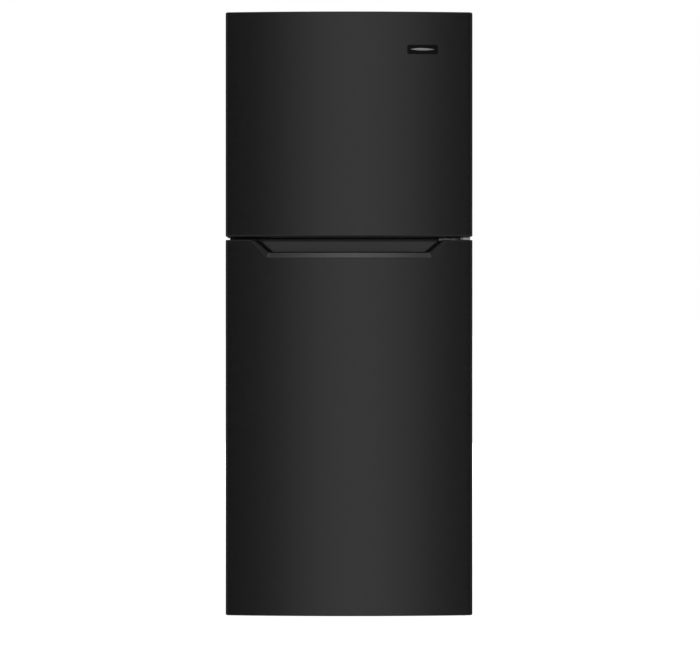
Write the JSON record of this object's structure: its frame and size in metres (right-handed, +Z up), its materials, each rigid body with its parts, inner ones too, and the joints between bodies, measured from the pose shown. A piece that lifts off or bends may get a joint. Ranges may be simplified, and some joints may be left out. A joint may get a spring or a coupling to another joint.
{
  "type": "top freezer refrigerator",
  "caption": "Upright refrigerator with a small freezer door above a tall lower door, both hinged on the right, a scooped hand grip between them and a fitted interior.",
  "frame": {"origin": "on the floor, at the centre of the closed refrigerator's bounding box", "axes": "+X to the viewer's right, where the hinges are, -Y out of the doors, +Z up"},
  "size_m": [0.6, 0.6733, 1.502],
  "materials": {
    "black_steel": "satin black paint on sheet steel",
    "black_plastic": "matt black moulded plastic",
    "handle_plastic": "satin black moulded plastic",
    "badge_metal": "satin plate, blank",
    "white_plastic": "glossy white liner",
    "grey_plastic": "pale grey moulding",
    "clear_plastic": "clear moulded plastic",
    "frosted_plastic": "frosted moulded plastic",
    "glass": "clear toughened glass",
    "foam": "rigid insulating foam",
    "gasket_rubber": "soft black magnetic seal",
    "zinc_steel": "zinc-plated steel",
    "rear_steel": "grey coated steel sheet",
    "white_wire": "white coated wire",
    "compressor_black": "gloss black paint",
    "copper": "drawn copper tube",
    "aluminium": "bare aluminium",
    "black_rubber": "matt rubber",
    "lamp": "frosted lamp glass"
  },
  "bodies": {
    "cabinet": {"cabinet_shell": "black_steel", "back_panel": "rear_steel", "cabinet_insulation": "foam", "freezer_liner": "white_plastic", "fridge_liner": "white_plastic", "mullion_rail": "black_steel", "base_pan": "zinc_steel", "front_rail": "black_steel", "compressor_tray": "zinc_steel", "compressor": "compressor_black", "compressor_grommets": "black_rubber", "compressor_relay": "black_plastic", "refrigerant_lines": "copper", "condenser_coil": "copper", "drip_pan": "black_plastic", "drain_tube": "grey_plastic", "machine_cover": "rear_steel", "cord_gland": "black_rubber", "evaporator": "aluminium", "defrost_heater": "zinc_steel", "evaporator_cover": "white_plastic", "fan_motor": "black_plastic", "air_duct_cover": "white_plastic", "control_box": "white_plastic", "light_bulb": "lamp", "light_cover": "frosted_plastic", "light_switch": "white_plastic", "freezer_shelf": "white_wire", "glass_shelves": "glass", "shelf_trims": "white_plastic", "top_hinge": "zinc_steel", "top_hinge_cover": "black_plastic", "center_hinge": "zinc_steel", "bottom_hinge": "zinc_steel", "hinge_screws": "zinc_steel", "hinge_hole_plugs": "black_plastic"},
    "freezer_door": {"freezer_door_skin": "black_steel", "freezer_door_foam": "foam", "freezer_door_liner": "white_plastic", "freezer_door_caps": "black_plastic", "freezer_door_gasket": "gasket_rubber", "freezer_door_bins": "clear_plastic", "badge": "badge_metal"},
    "fridge_door": {"fridge_door_skin": "black_steel", "fridge_door_foam": "foam", "fridge_door_liner": "white_plastic", "fridge_door_caps": "black_plastic", "fridge_door_handle": "handle_plastic", "fridge_door_gasket": "gasket_rubber", "fridge_door_bins": "clear_plastic"},
    "left_drawer": {"left_crisper": "clear_plastic"},
    "right_drawer": {"right_crisper": "clear_plastic"},
    "knob": {"temperature_knob": "grey_plastic"},
    "gate": {"airflow_gate": "grey_plastic"},
    "fan": {"fan_blade": "white_plastic"},
    "plunger": {"switch_plunger": "white_plastic"},
    "left_leg": {"left_leg": "black_plastic"},
    "right_leg": {"right_leg": "black_plastic"},
    "left_roller": {"left_roller": "black_plastic"},
    "right_roller": {"right_roller": "black_plastic"}
  },
  "joints": [
    {"name": "freezer_door_hinge", "type": "hinge", "parent": "cabinet", "child": "freezer_door", "pos_m": [0.28, -0.3, 1.2], "axis": [0, 0, 1], "range_deg": [0, 135]},
    {"name": "fridge_door_hinge", "type": "hinge", "parent": "cabinet", "child": "fridge_door", "pos_m": [0.28, -0.3, 0.5], "axis": [0, 0, 1], "range_deg": [0, 135]},
    {"name": "left_drawer_slide", "type": "slide", "parent": "cabinet", "child": "left_drawer", "axis": [0, -1, 0], "range_m": [0, 0.025]},
    {"name": "right_drawer_slide", "type": "slide", "parent": "cabinet", "child": "right_drawer", "axis": [0, -1, 0], "range_m": [0, 0.025]},
    {"name": "knob_turn", "type": "hinge", "parent": "cabinet", "child": "knob", "pos_m": [0.07, -0.164, 0.876], "axis": [0, -1, 0], "range_deg": [-135, 135]},
    {"name": "gate_slide", "type": "slide", "parent": "cabinet", "child": "gate", "axis": [-1, 0, 0], "range_m": [0, 0.008]},
    {"name": "fan_spin", "type": "hinge", "parent": "cabinet", "child": "fan", "pos_m": [0, 0.2085, 1.33], "axis": [0, -1, 0], "continuous": true},
    {"name": "plunger_slide", "type": "slide", "parent": "cabinet", "child": "plunger", "axis": [0, -1, 0], "range_m": [0, 0.008]},
    {"name": "left_leg_turn", "type": "hinge", "parent": "cabinet", "child": "left_leg", "pos_m": [-0.255, -0.225, 0.02], "axis": [0, 0, 1], "continuous": true},
    {"name": "right_leg_turn", "type": "hinge", "parent": "cabinet", "child": "right_leg", "pos_m": [0.255, -0.225, 0.02], "axis": [0, 0, 1], "continuous": true},
    {"name": "left_roller_spin", "type": "hinge", "parent": "cabinet", "child": "left_roller", "pos_m": [-0.25, 0.295, 0.014], "axis": [1, 0, 0], "continuous": true},
    {"name": "right_roller_spin", "type": "hinge", "parent": "cabinet", "child": "right_roller", "pos_m": [0.25, 0.295, 0.014], "axis": [1, 0, 0], "continuous": true}
  ],
  "couplings": [
    {"joint": "plunger_slide", "follows": "fridge_door_hinge", "m_per_rad": 0.0033}
  ]
}
